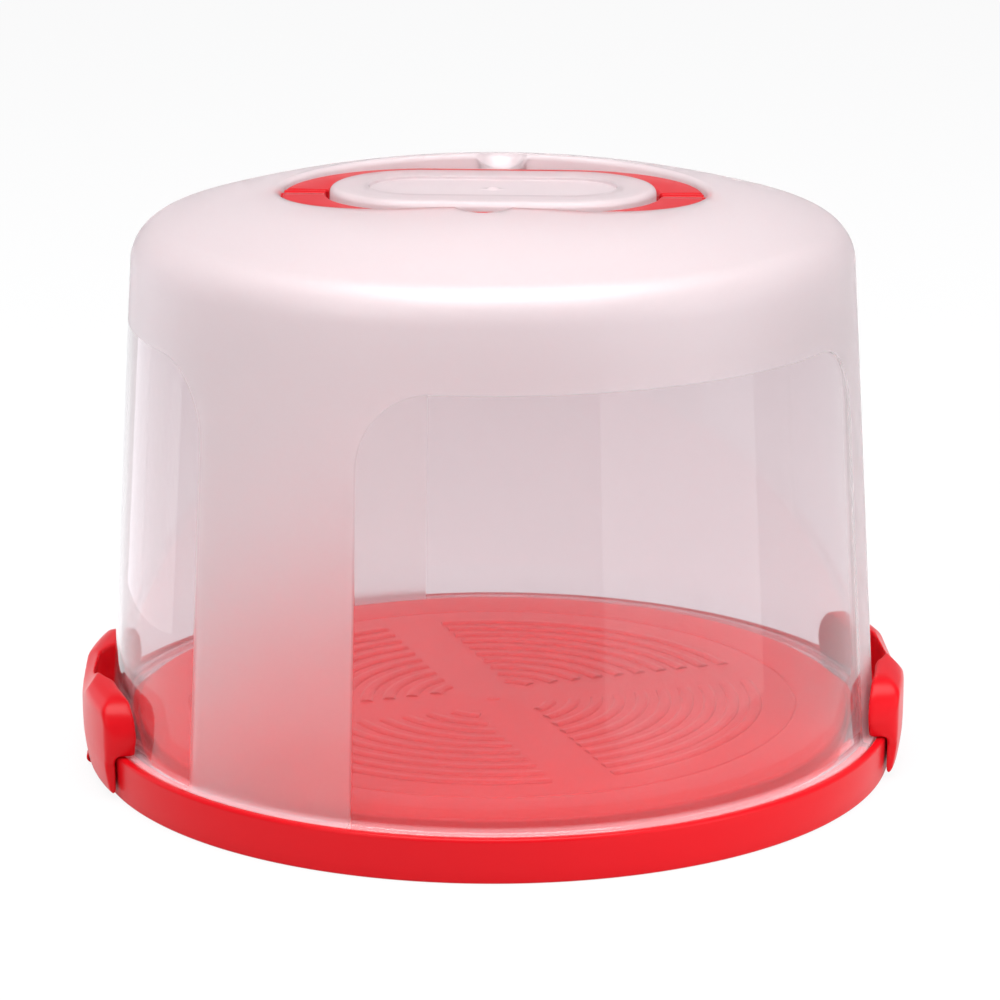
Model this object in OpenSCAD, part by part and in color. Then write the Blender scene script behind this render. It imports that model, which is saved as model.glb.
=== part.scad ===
// Round cake carrier: a red tray, a frosted dome with a folding two-bail handle, and two swing latches.
// Millimetres. The origin is the centre of the tray's underside, +Z up, with a latch at each end of X.

/* [Tray] */
// Outer diameter of the tray's band, measured at its foot
tray_d = 310; // [300:1:320]
// Height of the outer band
band_h = 17; // [15:0.5:18]
// Height of the raised floor that the cake stands on
floor_z = 19.2; // [18.5:0.1:21]
// Radius of the raised floor
floor_r = 141; // [136:0.5:142]
// Thickness of the tray's walls
tray_wall = 2.4; // [2:0.1:3]
// Number of ripple arcs in each quadrant of the floor
ripple_count = 10; // [4:1:12]
// Height of the ripples above the floor
ripple_h = 0.9; // [0.4:0.1:1.5]
// Turn of the rippled quadrants about the tray's axis
ripple_turn = 14; // [0:1:45]

/* [Dome] */
// Outer radius of the dome's wall at its foot
dome_foot_r = 149; // [148:0.1:149.2]
// Lean of the dome's wall from upright, in degrees
dome_lean = 3.57; // [2:0.01:5]
// Height of the crown's highest point, before the handle well is cut in it
crown_top = 229.5; // [228:0.5:231]
// Radius of the crown's curve
crown_r = 451; // [420:1:500]
// Outer radius of the shoulder between wall and crown
shoulder_r = 16; // [12:0.5:22]
// Thickness of the dome's wall
dome_wall = 2; // [1.6:0.1:2.4]
// Outer radius of the flange at the foot of the dome
flange_r = 151.6; // [151:0.1:151.8]
// Turn of the dome and its handles about the carrier's axis
dome_turn = -8.2; // [-20:0.1:20]

/* [Handle well] */
// Half of the well's length
well_half_l = 81; // [79:0.5:83]
// Half of the well's width, which is also the radius of its ends
well_half_w = 55; // [52:0.5:57]
// Half of the island's length
island_half_l = 62; // [60:0.5:62.5]
// Half of the island's width, which is also the radius of its ends
island_half_w = 34.5; // [32:0.5:36]
// Height of the well's floor
well_z = 214.2; // [213.5:0.1:214.3]
// Height of the island's top
island_z = 223.4; // [222:0.1:224]
// Radius of the ball-shaped finger notches in the well's front and rear edge
notch_r = 11.7; // [10:0.1:12]

/* [Handles] */
// Thickness of the handles, which lie with their lower face just above the well's floor
handle_t = 5.6; // [5:0.1:5.8]
// Radius of the stub pins that the handles turn on
handle_pin_r = 1.6; // [1.3:0.05:1.7]
// Distance from the dome's centre line to each handle's turning axis
handle_axis_y = 3.2; // [3.2:0.1:4]

/* [Latches] */
// Outer radius of the closed latches about the carrier's axis
latch_r = 160.3; // [159.8:0.1:161]
// Half of a latch's width at its rounded ends
latch_half_w = 56; // [50:0.5:58]
// Height of the latch's top edge at its middle
latch_edge_z = 28; // [26:0.5:29]
// Height of the latch's ends
latch_top = 38.5; // [37:0.5:40]
// Height of the hook's lower face, just above the dome's flange
hook_z = 17.4; // [17.3:0.1:17.8]
// Radius of the latch's hinge rod
rod_r = 1.25; // [1.2:0.05:1.3]
// Distance from the carrier's axis to the hinge rod's axis
rod_x = 156.9; // [156.8:0.1:157.2]
// Height of the hinge rod's axis
rod_z = 3.2; // [3.2:0.1:3.5]

/* [Hidden] */
$fn = 120;

red = [0.86, 0.08, 0.09];
frosted = [0.95, 0.90, 0.92, 0.55];
eps = 0.02;
running = 0.05;                      // radial clearance of a turning pin in its hole

// Tray
foot_r = tray_d / 2;
band_top_r = foot_r + 0.5;
rim_w = 1.9;                         // flat top of the rim, outside the flange's seat
seat_z = 13.8;                       // ledge that the dome's flange sits on
rim_round = 1.2;
seat_r = band_top_r - rim_round - rim_w;
foot_round = 1;
floor_drop = 1.2;                    // draft of the raised floor's side wall
rib_foot = 1.5;                      // clear height under the stiffening ribs
ripple_in = 21;
ripple_out = 103;
ripple_gap = (ripple_out - ripple_in) / (ripple_count - 0.5);
ripple_w = ripple_gap * 0.52;
band_gap_half = 12;                  // half width of the plain cross between the quadrants
outline_r = 119;                     // fine groove round the rippled field
lug_w = 6;
lug_y = 9;
lug_r = 2.2;

// Dome
flange_z = 14.1;
flange_top = 16.9;
lean_dir = [-sin(dome_lean), cos(dome_lean)];
lean_in = [-cos(dome_lean), -sin(dome_lean)];
crown_c = [0, crown_top - crown_r];
wall_foot = [dome_foot_r, flange_z];
from_crown = wall_foot + shoulder_r * lean_in - crown_c;
along = -(from_crown * lean_dir) + sqrt(pow(from_crown * lean_dir, 2)
        - from_crown * from_crown + pow(crown_r - shoulder_r, 2));
shoulder_c = wall_foot + along * lean_dir + shoulder_r * lean_in;
crown_dir = (shoulder_c - crown_c) / norm(shoulder_c - crown_c);

notch_in = 2;
notch_z = 231;
dish_half_l = 47;
dish_half_w = 19;
dish_depth = 1.4;
nub_r = 2.4;
nub_h = 0.7;
above = 240;                         // any height clear of the crown
boss_r = 3.6;
boss_end = 88;                       // distance of the pivot bosses' inner ends from the centre
bore_end = 86.2;
slot_end = 84.7;
snap_slot_w = 2.6;                   // narrower than the pins, which snap in from above

// Handles
well_gap = 1.0;
island_gap = 1.4;
floor_gap = 0.4;
handle_z = well_z + floor_gap;
handle_axis_z = handle_z + handle_t / 2;
skirt = 2;                           // walls round the handle's hollow underside
plate = 2.2;                         // skin of the handle's top
eye_r = handle_t / 2 - 0.05;
eye_in = island_half_l + 2;
eye_out = well_half_l - well_gap - 0.1;
hollow_start = 9;
pin_end = bore_end - 0.5;

// Latches
plate_in = 156.2;
plate_half_w = latch_half_w - 3;
latch_foot = 1.8;
hook_in = 149.9;
hook_t = 2.8;
lip_slope = [-0.57, 0.822];          // direction of the lip's bevel, up and inwards
scoop_r = 140;
pocket_r = 40;
pocket_x = 115.2;
end_round = 15.5;                    // rounding of the ends' upper corners
corner_r = 6;                        // rounding of the outer wall into the ends, in plan
core_in = 152.3;                     // the ends are cored out from below, over the flange
core_out = 155.6;
core_top = 31;
core_y = 31;
core_w = 17;
window_h = 6.4;
window_gap = 0.8;
rod_half = 13;

// A long shape with round ends, centred, lying along X
module pill(half_l, half_w) {
    for (s = [-1, 1]) translate([s * (half_l - half_w), 0]) circle(r = half_w);
    square([2 * (half_l - half_w), 2 * half_w], center = true);
}

// ---- tray ----
module tray_section() {
    difference() {
        polygon([[foot_r - tray_wall, 0], [foot_r - foot_round, 0], [foot_r, foot_round],
                 [band_top_r, band_h - rim_round], [band_top_r - rim_round, band_h],
                 [seat_r, band_h], [seat_r, seat_z], [floor_r + floor_drop, seat_z],
                 [floor_r, floor_z - 0.8], [floor_r - 0.8, floor_z], [0, floor_z],
                 [0, floor_z - tray_wall], [floor_r - tray_wall - 0.4, floor_z - tray_wall],
                 [floor_r + floor_drop - tray_wall, seat_z - tray_wall],
                 [foot_r - tray_wall, seat_z - tray_wall]]);
        // fine groove round the rippled field
        translate([outline_r, floor_z]) circle(r = 0.5, $fn = 24);
    }
}

// One quadrant of ripple arcs: low rounded ridges on the floor
module ripple_quadrant() {
    intersection() {
        rotate_extrude(angle = 90)
            for (i = [0 : ripple_count - 1])
                translate([ripple_in + i * ripple_gap, floor_z - 0.3])
                    polygon([[0, 0], [ripple_w, 0], [ripple_w, 0.3 + ripple_h * 0.4],
                             [ripple_w - 0.9, 0.3 + ripple_h], [0.9, 0.3 + ripple_h],
                             [0, 0.3 + ripple_h * 0.4]]);
        translate([band_gap_half, band_gap_half, 0]) cube([ripple_out, ripple_out, above]);
    }
}

module tray_ribs() {
    top = floor_z - tray_wall + eps;
    for (a = [0 : 90 : 270])
        rotate(a + ripple_turn)
            translate([40, -0.9, rib_foot]) cube([floor_r - 43, 1.8, top - rib_foot]);
    difference() {
        translate([0, 0, rib_foot]) cylinder(r = 41, h = top - rib_foot);
        translate([0, 0, rib_foot - 1]) cylinder(r = 39.2, h = top);
    }
}

// The two knuckles at one side that a latch's rod turns in
module tray_lugs() {
    for (s = [-1, 1])
        difference() {
            union() {
                translate([rod_x, s * lug_y + lug_w / 2, rod_z]) rotate([90, 0, 0])
                    cylinder(r = lug_r, h = lug_w);
                translate([foot_r - 2.2, s * lug_y - lug_w / 2, rod_z - lug_r])
                    cube([rod_x - foot_r + 2.2, lug_w, 2 * lug_r]);
            }
            translate([rod_x, s * lug_y + lug_w, rod_z]) rotate([90, 0, 0])
                cylinder(r = rod_r + running, h = 2 * lug_w);
        }
}

module tray() {
    color(red) {
        rotate_extrude($fn = 180) tray_section();
        rotate(ripple_turn)
            for (a = [0 : 90 : 270]) rotate(a) ripple_quadrant();
        tray_ribs();
        for (a = [0, 180]) rotate(a) tray_lugs();
    }
}

// ---- dome ----
// The dome's outline from its axis out, set in by the wall's thickness for the inner face
module dome_section(inset) {
    foot = wall_foot + inset * lean_in;
    wall_top = shoulder_c - (shoulder_r - inset) * lean_in;
    crown_edge = crown_c + (crown_r - inset) * crown_dir;
    polygon([[0, flange_z], [foot[0], flange_z], wall_top, shoulder_c, crown_edge, [0, crown_edge[1]]]);
    translate(shoulder_c) circle(r = shoulder_r - inset);
    intersection() {
        translate(crown_c) circle(r = crown_r - inset, $fn = 720);
        translate([0, crown_edge[1] - 1]) square([crown_edge[0], above]);
    }
}

// Well, notches and island as upright solids; grow is the wall's thickness for the inner face
module well_solid(grow) {
    translate([0, 0, well_z - grow]) linear_extrude(above) pill(well_half_l + grow, well_half_w + grow);
    for (end = [0, 180])
        rotate(end) translate([0, notch_in - well_half_w, notch_z])
            sphere(r = notch_r + grow, $fn = 64);
}

module island_solid(shrink, top) {
    translate([0, 0, well_z - 2 * dome_wall])
        linear_extrude(top - well_z + 2 * dome_wall)
            pill(island_half_l - shrink, island_half_w - shrink);
}

// Something at each of the four places where a handle's pin enters the well's end walls
module at_pivots() {
    for (end = [0, 180], side = [-1, 1])
        rotate(end) translate([0, side * handle_axis_y, handle_axis_z]) children();
}

module pivot_bosses() {
    at_pivots() translate([well_half_l + 0.2, 0, 0]) rotate([0, 90, 0])
        cylinder(r = boss_r, h = boss_end - well_half_l - 0.2, $fn = 48);
}

module pivot_bores() {
    at_pivots() {
        translate([well_half_l - 2, 0, 0]) rotate([0, 90, 0])
            cylinder(r = handle_pin_r + running, h = bore_end - well_half_l + 2, $fn = 48);
        translate([well_half_l - 2, -snap_slot_w / 2, 0])
            cube([slot_end - well_half_l + 2, snap_slot_w, above]);
    }
}

module dome() {
    color(frosted) rotate(dome_turn) difference() {
        union() {
            difference() {
                union() {
                    difference() {
                        rotate(45) rotate_extrude($fn = 180) dome_section(0);
                        well_solid(0);
                    }
                    island_solid(0, island_z);
                    rotate(45) rotate_extrude($fn = 180)
                        polygon([[dome_foot_r - 3, flange_z], [flange_r, flange_z],
                                 [flange_r, flange_top - 0.5], [flange_r - 0.5, flange_top],
                                 [dome_foot_r - 3, flange_top]]);
                }
                difference() {
                    translate([0, 0, -eps]) rotate(45) rotate_extrude($fn = 180) dome_section(dome_wall);
                    difference() {
                        well_solid(dome_wall);
                        island_solid(dome_wall, island_z - dish_depth - dome_wall);
                    }
                }
                translate([0, 0, island_z - dish_depth])
                    linear_extrude(above) pill(dish_half_l, dish_half_w);
            }
            translate([0, 0, island_z - dish_depth - eps]) cylinder(r = nub_r, h = nub_h, $fn = 32);
            pivot_bosses();
        }
        pivot_bores();
    }
}

// ---- handles ----
// Plan of a half bail, drawn in at the edges by inset: half of the ring between well and island
module bail_plan(inset, start) {
    intersection() {
        difference() {
            pill(well_half_l - well_gap - inset, well_half_w - well_gap - inset);
            pill(island_half_l + island_gap + inset, island_half_w + island_gap + inset);
        }
        translate([-well_half_l, -well_half_w]) square([2 * well_half_l, well_half_w - start]);
    }
}

// The front half bail, lying flat; the rear one is the same, turned round
module bail() {
    difference() {
        translate([0, 0, handle_z]) linear_extrude(handle_t) bail_plan(0, handle_axis_y);
        translate([0, 0, handle_z - 1]) linear_extrude(handle_t - plate + 1) bail_plan(skirt, hollow_start);
    }
    for (end = [0, 1]) mirror([end, 0, 0]) translate([0, -handle_axis_y, handle_axis_z]) {
        translate([eye_in, 0, 0]) rotate([0, 90, 0]) cylinder(r = eye_r, h = eye_out - eye_in, $fn = 64);
        translate([eye_out - 1, 0, 0]) rotate([0, 90, 0])
            cylinder(r = handle_pin_r, h = pin_end - eye_out + 1, $fn = 48);
    }
}

module front_handle() {
    color(red) rotate(dome_turn) bail();
}

module rear_handle() {
    color(red) rotate(dome_turn + 180) bail();
}

// ---- latches ----
// Section of a latch without its pocket: foot plate outside the band, hook and body over the flange
module latch_section() {
    polygon([[plate_in + 0.8, latch_foot], [latch_r - 2.9, latch_foot], [latch_r - 1.8, latch_foot + 1.9],
             [latch_r - 0.9, latch_foot + 7], [latch_r - 0.2, latch_foot + 12.5], [latch_r, latch_foot + 18.5],
             [latch_r, latch_top - 5], [latch_r - 1, latch_top - 3.2], [latch_r - 3.4, latch_top - 1.2],
             [latch_r - 6.4, latch_top], [hook_in, latch_top], [hook_in - 1, latch_top - 1.4],
             [hook_in, hook_z + 0.6], [hook_in + 0.6, hook_z], [plate_in, hook_z],
             [plate_in, latch_foot + 0.8]]);
}

// Outline of a latch seen from the front: straight foot plate, ends rounded above it
module latch_outline() {
    translate([-plate_half_w, 0]) square([2 * plate_half_w, latch_top - end_round - 1]);
    translate([end_round - latch_half_w, 0]) square([2 * (latch_half_w - end_round), latch_top]);
    for (side = [-1, 1])
        translate([side * (latch_half_w - end_round), latch_top - end_round])
            circle(r = end_round, $fn = 96);
}

// Plan of a latch, which rounds its outer wall into its ends
module latch_plan() {
    corner_y = latch_half_w - corner_r;
    inner_r = latch_r + 0.15 - corner_r;
    corner_x = sqrt(inner_r * inner_r - corner_y * corner_y);
    polygon([[0, 0], [2 * corner_x, -2 * corner_y], [2 * corner_x, 2 * corner_y]]);
    translate([0, -latch_half_w]) square([corner_x, 2 * latch_half_w]);
    for (side = [-1, 1]) translate([corner_x, side * corner_y]) circle(r = corner_r, $fn = 64);
}

// Bevel and scoop of the top edge: lowest at the middle, rising to both ends
module latch_scoop() {
    edge = [latch_r, latch_edge_z];
    out = [lip_slope[1], -lip_slope[0]];
    centre = edge + scoop_r * out;
    translate([centre[0], 0, centre[1]])
        rotate([0, atan2(lip_slope[0], lip_slope[1]), 0])
            cylinder(r = scoop_r, h = 120, center = true, $fn = 360);
}

// Hollow of an end, open towards the flange
module end_core() {
    intersection() {
        difference() {
            translate([0, 0, hook_z - 1]) cylinder(r = core_out, h = core_top - hook_z + 1, $fn = 360);
            translate([0, 0, hook_z - 2]) cylinder(r = core_in, h = core_top, $fn = 360);
        }
        for (side = [-1, 1])
            translate([core_in / 2, side * (core_y + core_w / 2) - core_w / 2, 0])
                cube([core_in, core_w, above]);
    }
}

module latch() {
    difference() {
        intersection() {
            rotate(-25) rotate_extrude(angle = 50, $fn = 360) latch_section();
            rotate([90, 0, 90]) linear_extrude(2 * latch_r) latch_outline();
            linear_extrude(above) latch_plan();
        }
        latch_scoop();
        translate([pocket_x, 0, hook_z + hook_t]) rotate(180) cylinder(r = pocket_r, h = above, $fn = 180);
        end_core();
        // windows for the tray's knuckles
        for (s = [-1, 1])
            translate([hook_in, s * lug_y - lug_w / 2 - window_gap, -1])
                cube([latch_r - hook_in + 5, lug_w + 2 * window_gap, window_h + 1]);
    }
    translate([rod_x, rod_half, rod_z]) rotate([90, 0, 0]) cylinder(r = rod_r, h = 2 * rod_half);
}

module right_latch() {
    color(red) latch();
}

module left_latch() {
    color(red) rotate(180) latch();
}

tray();
dome();
left_latch();
right_latch();
front_handle();
rear_handle();
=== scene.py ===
# %% [markdown]
# # A round cake carrier
# This lesson dresses a working model of a cake carrier. The model gives a red tray, a frosted dome,
# two swing latches and a folding handle in two halves, all at their real size and in their real place.
# Here each of them gets the soft edges, thin walls and plastics of the real thing. A cell like this
# one says what comes next and why it is made that way, and the code cell after it makes it.

import math

import bmesh
import bpy
import numpy as np
from mathutils import Matrix, Vector


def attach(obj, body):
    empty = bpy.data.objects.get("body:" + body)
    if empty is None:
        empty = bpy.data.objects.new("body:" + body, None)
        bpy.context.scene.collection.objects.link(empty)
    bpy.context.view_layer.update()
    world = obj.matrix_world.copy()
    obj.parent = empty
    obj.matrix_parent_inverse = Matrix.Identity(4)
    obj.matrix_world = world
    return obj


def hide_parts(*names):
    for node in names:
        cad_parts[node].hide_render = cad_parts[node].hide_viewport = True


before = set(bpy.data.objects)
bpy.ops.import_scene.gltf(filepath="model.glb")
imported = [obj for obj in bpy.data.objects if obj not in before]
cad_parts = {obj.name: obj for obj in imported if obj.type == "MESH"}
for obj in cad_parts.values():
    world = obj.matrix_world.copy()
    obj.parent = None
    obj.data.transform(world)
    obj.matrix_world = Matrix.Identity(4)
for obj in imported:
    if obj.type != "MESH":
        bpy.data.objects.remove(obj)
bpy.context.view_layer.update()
mm = 0.001

# %% [markdown]
# ## Helpers for smooth plastic shapes
# Nearly everything on this object is a smooth moulding, so most pieces are made of rings. A ring is a
# closed loop of points, and a skin is laid from one ring to the next. Two helpers draw the outlines:
# `filleted` rounds each corner of a path by its own radius, as a moulder would, and `pill`, which comes
# with the dome, gives a long shape with round ends, ring after ring with matching points.

# %% Mesh from rings
def add_mesh(name, verts, faces):
    """A smooth mesh object at the origin, from points in millimetres."""
    mesh = bpy.data.meshes.new(name)
    mesh.from_pydata([[c * mm for c in v] for v in verts], [], faces)
    mesh.polygons.foreach_set("use_smooth", [True] * len(mesh.polygons))
    mesh.update()
    obj = bpy.data.objects.new(name, mesh)
    bpy.context.scene.collection.objects.link(obj)
    return obj


def ring_skin(rings, wrap=False, start_pole=False, end_pole=False):
    """Points and faces of a skin over rings of equal length; wrap joins the last ring to the first."""
    count = len(rings[0])
    verts = [tuple(p) for ring in rings for p in ring]
    faces = []
    pairs = [(i, i + 1) for i in range(len(rings) - 1)] + ([(len(rings) - 1, 0)] if wrap else [])
    for lower, upper in pairs:
        for j in range(count):
            k = (j + 1) % count
            faces.append((lower * count + j, lower * count + k, upper * count + k, upper * count + j))
    if start_pole:
        verts.append(tuple(np.mean(rings[0], axis=0)))
        faces += [((j + 1) % count, j, len(verts) - 1) for j in range(count)]
    if end_pole:
        verts.append(tuple(np.mean(rings[-1], axis=0)))
        last = (len(rings) - 1) * count
        faces += [(last + j, last + (j + 1) % count, len(verts) - 1) for j in range(count)]
    return verts, faces


weld = 0.002            # points closer than this are one point


def outwards(obj):
    """Merges the doubled points of a closed mesh and turns its faces outwards."""
    work = bmesh.new()
    work.from_mesh(obj.data)
    bmesh.ops.remove_doubles(work, verts=work.verts, dist=weld * mm)
    bmesh.ops.recalc_face_normals(work, faces=work.faces)
    work.to_mesh(obj.data)
    work.free()
    return obj


# %% Rounded paths and turned shapes
def filleted(corners, steps=6, closed=False):
    """A path through corners (x, z, radius), with each corner rounded by its radius."""
    path = []
    for i, (x, z, radius) in enumerate(corners):
        here = np.array((x, z), float)
        ends = not closed and i in (0, len(corners) - 1)
        if radius <= 0 or ends:
            path.append(here)
            continue
        before = np.array(corners[i - 1][:2], float) - here
        after = np.array(corners[(i + 1) % len(corners)][:2], float) - here
        to_before, to_after = before / np.linalg.norm(before), after / np.linalg.norm(after)
        half = math.acos(np.clip(to_before @ to_after, -1, 1)) / 2
        reach = min(radius / math.tan(half), 0.49 * np.linalg.norm(before), 0.49 * np.linalg.norm(after))
        size = reach * math.tan(half)
        inwards = (to_before + to_after) / np.linalg.norm(to_before + to_after)
        middle = here + inwards * size / math.sin(half)
        first, last = here + to_before * reach - middle, here + to_after * reach - middle
        turn = math.atan2(first[0] * last[1] - first[1] * last[0], first @ last)
        for s in range(steps + 1):
            c, k = math.cos(turn * s / steps), math.sin(turn * s / steps)
            path.append(middle + np.array((first[0] * c - first[1] * k, first[0] * k + first[1] * c)))
    return path


def revolve(path, count=256):
    """Rings of a path (radius, z) turned about the upright axis."""
    angles = [2 * math.pi * j / count for j in range(count)]
    return [[(r * math.cos(a), r * math.sin(a), z) for a in angles] for r, z in path]


# %% [markdown]
# ## The tray
# The tray is one red moulding. From outside in it has a plain band, a flat rim, a ledge that the
# dome's flange sits on, and a raised floor. A revolve of one closed outline gives all of these with
# their small fillets, and leaves the underside hollow, as such a moulding is.

# %% Tray shell
foot_r, band_top_r, band_h = 155.0, 155.5, 17.0
seat_r, seat_z = 152.4, 13.8
floor_r, floor_z, floor_drop = 141.0, 19.2, 1.2
tray_wall = 2.4
outline_r, groove = 119.0, 0.55      # a fine groove round the ripples
gate_r, gate_h = 2.2, 0.5            # the small button that the mould leaves in the middle
pole_r = 0.05                        # a path ends this far from the axis, and one point closes it

# corners (radius, height, fillet) over the floor, down the band and back underneath
tray_outline = filleted([
    (0, floor_z + gate_h, 0), (gate_r, floor_z + gate_h, 0.3), (gate_r + 0.6, floor_z, 0.3),
    (outline_r - groove, floor_z, 0.2), (outline_r, floor_z - groove, 0.2),
    (outline_r + groove, floor_z, 0.2), (floor_r, floor_z, 1.6), (floor_r + floor_drop, seat_z, 1.2),
    (seat_r, seat_z, 0.6), (seat_r, band_h, 0.6), (band_top_r, band_h, 1.7), (foot_r, 0, 1.5),
    (foot_r - tray_wall, 0, 0.6), (foot_r - tray_wall, seat_z - tray_wall, 1.0),
    (floor_r + floor_drop - tray_wall, seat_z - tray_wall, 1.0),
    (floor_r - tray_wall - 0.4, floor_z - tray_wall, 1.2), (0, floor_z - tray_wall, 0)])
tray_outline = [(max(r, pole_r), z) for r, z in tray_outline]
tray_skin = ring_skin(revolve(tray_outline), start_pole=True, end_pole=True)
tray = outwards(add_mesh("tray_shell", *tray_skin))
print("tray faces:", len(tray.data.polygons))

# %% [markdown]
# ## Ripples, with Geometry Nodes
# The floor carries four fans of raised ripples that keep a cake board from sliding. Each ripple is an
# arc, and all arcs follow one rule: ten radii at an even pitch, cut back by a plain cross of bands.
# So one node tree makes them. It lays out the arcs by number, sweeps a low round profile along them,
# and turns the fan four times.

# %% Ripple sizes
ripple_count, ripple_in, ripple_out = 10, 23.0, 103.0
ripple_pitch = (ripple_out - ripple_in) / (ripple_count - 1)
ripple_h, ripple_w = 0.9, 5.0
ripple_turn = 14.0                   # heading of the first fan, in degrees
cross_half = 12.0
arc_points, ridge_points, fan_count = 64, 20, 4
print("ripple radii:", [round(ripple_in + i * ripple_pitch, 1) for i in range(ripple_count)])


# %% Node helpers
def node(tree, kind, **settings):
    made = tree.nodes.new(kind)
    for key, value in settings.items():
        setattr(made, key, value)
    return made


def math_node(tree, operation, *values):
    """The result of a Math node, whose inputs are numbers or other nodes' outputs."""
    made = node(tree, "ShaderNodeMath", operation=operation)
    for slot, value in zip(made.inputs, values):
        if isinstance(value, (int, float)):
            slot.default_value = value
        else:
            tree.links.new(value, slot)
    return made.outputs[0]


# %% Arcs of one fan
def fan_arcs(tree, given):
    """One curve for each ripple, bent into its arc."""
    link = tree.links.new

    # one upright line per ripple, so that each line keeps its number
    rows = node(tree, "GeometryNodeMeshLine")
    link(given["Count"], rows.inputs["Count"])
    upright = node(tree, "GeometryNodeCurvePrimitiveLine")
    fine = node(tree, "GeometryNodeResampleCurve")
    fine.inputs["Count"].default_value = arc_points
    link(upright.outputs["Curve"], fine.inputs["Curve"])
    laid = node(tree, "GeometryNodeInstanceOnPoints")
    link(rows.outputs["Mesh"], laid.inputs["Points"])
    link(fine.outputs["Curve"], laid.inputs["Instance"])
    number = node(tree, "GeometryNodeInputIndex")
    store = node(tree, "GeometryNodeStoreNamedAttribute", data_type="FLOAT", domain="INSTANCE")
    store.inputs["Name"].default_value = "number"
    link(laid.outputs["Instances"], store.inputs["Geometry"])
    link(number.outputs["Index"], store.inputs["Value"])
    real = node(tree, "GeometryNodeRealizeInstances")
    link(store.outputs["Geometry"], real.inputs["Geometry"])

    # the number gives the radius, and the place along the line gives the heading
    read = node(tree, "GeometryNodeInputNamedAttribute", data_type="FLOAT")
    read.inputs["Name"].default_value = "number"
    along = node(tree, "GeometryNodeSplineParameter")
    radius = math_node(tree, "MULTIPLY_ADD", read.outputs["Attribute"], given["Pitch"], given["First radius"])
    start = math_node(tree, "ARCSINE", math_node(tree, "DIVIDE", given["Cross half"], radius))
    sweep = math_node(tree, "SUBTRACT", math.pi / 2, math_node(tree, "MULTIPLY", start, 2.0))
    angle = math_node(tree, "MULTIPLY_ADD", along.outputs["Factor"], sweep, start)
    place = node(tree, "ShaderNodeCombineXYZ")
    link(math_node(tree, "MULTIPLY", radius, math_node(tree, "COSINE", angle)), place.inputs["X"])
    link(math_node(tree, "MULTIPLY", radius, math_node(tree, "SINE", angle)), place.inputs["Y"])
    bent = node(tree, "GeometryNodeSetPosition")
    link(real.outputs["Geometry"], bent.inputs["Geometry"])
    link(place.outputs["Vector"], bent.inputs["Position"])
    return bent.outputs["Geometry"]


# %% Ridges along the arcs
def ridges_on(tree, given, arcs):
    """A low round ridge swept along the arcs, closed at its ends."""
    link = tree.links.new
    round_edge = node(tree, "GeometryNodeCurvePrimitiveCircle", mode="RADIUS")
    round_edge.inputs["Resolution"].default_value = ridge_points
    round_edge.inputs["Radius"].default_value = 1.0
    squashed = node(tree, "GeometryNodeTransform")
    size = node(tree, "ShaderNodeCombineXYZ")
    link(math_node(tree, "MULTIPLY", given["Width"], 0.5), size.inputs["X"])
    link(given["Height"], size.inputs["Y"])
    size.inputs["Z"].default_value = 1.0
    link(round_edge.outputs["Curve"], squashed.inputs["Geometry"])
    link(size.outputs["Vector"], squashed.inputs["Scale"])
    swept = node(tree, "GeometryNodeCurveToMesh")
    swept.inputs["Fill Caps"].default_value = True
    link(arcs, swept.inputs["Curve"])
    link(squashed.outputs["Geometry"], swept.inputs["Profile Curve"])
    return swept.outputs["Mesh"]


# %% Four fans on the floor
def four_fans(tree, given, fan):
    """Copies of a fan, each a quarter turn further, lifted to the floor."""
    link = tree.links.new
    corners = node(tree, "GeometryNodeMeshLine")
    corners.inputs["Count"].default_value = fan_count
    corners.inputs["Offset"].default_value = (0, 0, 0)
    fans = node(tree, "GeometryNodeInstanceOnPoints")
    link(corners.outputs["Mesh"], fans.inputs["Points"])
    link(fan, fans.inputs["Instance"])
    quarter = node(tree, "GeometryNodeInputIndex")
    spin = node(tree, "ShaderNodeCombineXYZ")
    heading = math_node(tree, "MULTIPLY_ADD", quarter.outputs["Index"], math.pi / 2, given["Turn"])
    link(heading, spin.inputs["Z"])
    link(spin.outputs["Vector"], fans.inputs["Rotation"])
    lift = node(tree, "GeometryNodeTransform")
    up = node(tree, "ShaderNodeCombineXYZ")
    link(given["Floor"], up.inputs["Z"])
    link(fans.outputs["Instances"], lift.inputs["Geometry"])
    link(up.outputs["Vector"], lift.inputs["Translation"])
    return lift.outputs["Geometry"]


# %% Ripple tree
def ripple_tree(material):
    """The whole tree, with an input for each size."""
    tree = bpy.data.node_groups.new("ripple_fans", "GeometryNodeTree")
    tree.is_modifier = True
    sizes = [("Count", "Int", ripple_count), ("First radius", "Float", ripple_in * mm),
             ("Pitch", "Float", ripple_pitch * mm), ("Cross half", "Float", cross_half * mm),
             ("Width", "Float", ripple_w * mm), ("Height", "Float", ripple_h * mm),
             ("Floor", "Float", floor_z * mm), ("Turn", "Float", math.radians(ripple_turn))]
    for name, kind, value in sizes:
        socket = tree.interface.new_socket(name, in_out="INPUT", socket_type="NodeSocket" + kind)
        socket.default_value = value
    tree.interface.new_socket("Geometry", in_out="OUTPUT", socket_type="NodeSocketGeometry")
    given = node(tree, "NodeGroupInput").outputs
    link = tree.links.new
    fans = four_fans(tree, given, ridges_on(tree, given, fan_arcs(tree, given)))
    solid = node(tree, "GeometryNodeRealizeInstances")
    link(fans, solid.inputs["Geometry"])
    smooth = node(tree, "GeometryNodeSetShadeSmooth")
    link(solid.outputs["Geometry"], smooth.inputs["Geometry"])
    painted = node(tree, "GeometryNodeSetMaterial")
    painted.inputs["Material"].default_value = material
    link(smooth.outputs["Geometry"], painted.inputs["Geometry"])
    link(painted.outputs["Geometry"], node(tree, "NodeGroupOutput").inputs["Geometry"])
    return tree


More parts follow.
